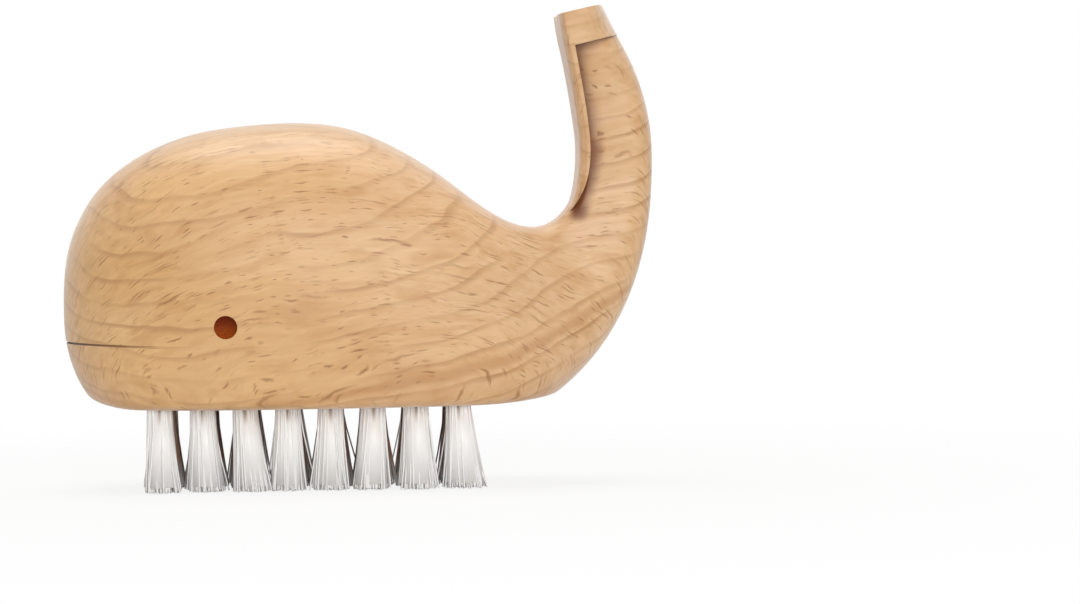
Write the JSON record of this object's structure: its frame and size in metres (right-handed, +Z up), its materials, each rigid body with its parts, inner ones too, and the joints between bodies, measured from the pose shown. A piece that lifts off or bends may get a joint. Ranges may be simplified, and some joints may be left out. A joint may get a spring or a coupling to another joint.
{
  "type": "nail brush",
  "caption": "Whale-shaped wooden nail brush: a carved block with raised tail, mouth line and plug eyes, and folded nylon tufts in its drilled flat belly.",
  "frame": {"origin": "middle of the footprint, on the surface that the bristle tips stand on", "axes": "+X from the nose to the tail, +Y to the whale's right side, +Z up"},
  "size_m": [0.1098, 0.046, 0.0888],
  "materials": {
    "beech": "sanded and lightly oiled beech",
    "eye_wood": "dark stained wood, satin",
    "bristle_nylon": "white nylon filament",
    "anchor_wire": "bright flat wire"
  },
  "bodies": {
    "root": {"brush_block": "beech", "eye_plug_left": "eye_wood", "eye_plug_right": "eye_wood", "tuft_r1_c1": "bristle_nylon", "tuft_r1_c2": "bristle_nylon", "tuft_r1_c3": "bristle_nylon", "tuft_r1_c4": "bristle_nylon", "tuft_r1_c5": "bristle_nylon", "tuft_r1_c6": "bristle_nylon", "tuft_r1_c7": "bristle_nylon", "tuft_r1_c8": "bristle_nylon", "tuft_r2_c1": "bristle_nylon", "tuft_r2_c2": "bristle_nylon", "tuft_r2_c3": "bristle_nylon", "tuft_r2_c4": "bristle_nylon", "tuft_r2_c5": "bristle_nylon", "tuft_r2_c6": "bristle_nylon", "tuft_r2_c7": "bristle_nylon", "tuft_r2_c8": "bristle_nylon", "tuft_r3_c1": "bristle_nylon", "tuft_r3_c2": "bristle_nylon", "tuft_r3_c3": "bristle_nylon", "tuft_r3_c4": "bristle_nylon", "tuft_r3_c5": "bristle_nylon", "tuft_r3_c6": "bristle_nylon", "tuft_r3_c7": "bristle_nylon", "tuft_r3_c8": "bristle_nylon", "tuft_r4_c1": "bristle_nylon", "tuft_r4_c2": "bristle_nylon", "tuft_r4_c3": "bristle_nylon", "tuft_r4_c4": "bristle_nylon", "tuft_r4_c5": "bristle_nylon", "tuft_r4_c6": "bristle_nylon", "tuft_r4_c7": "bristle_nylon", "tuft_r4_c8": "bristle_nylon", "tuft_anchors": "anchor_wire"}
  },
  "joints": []
}
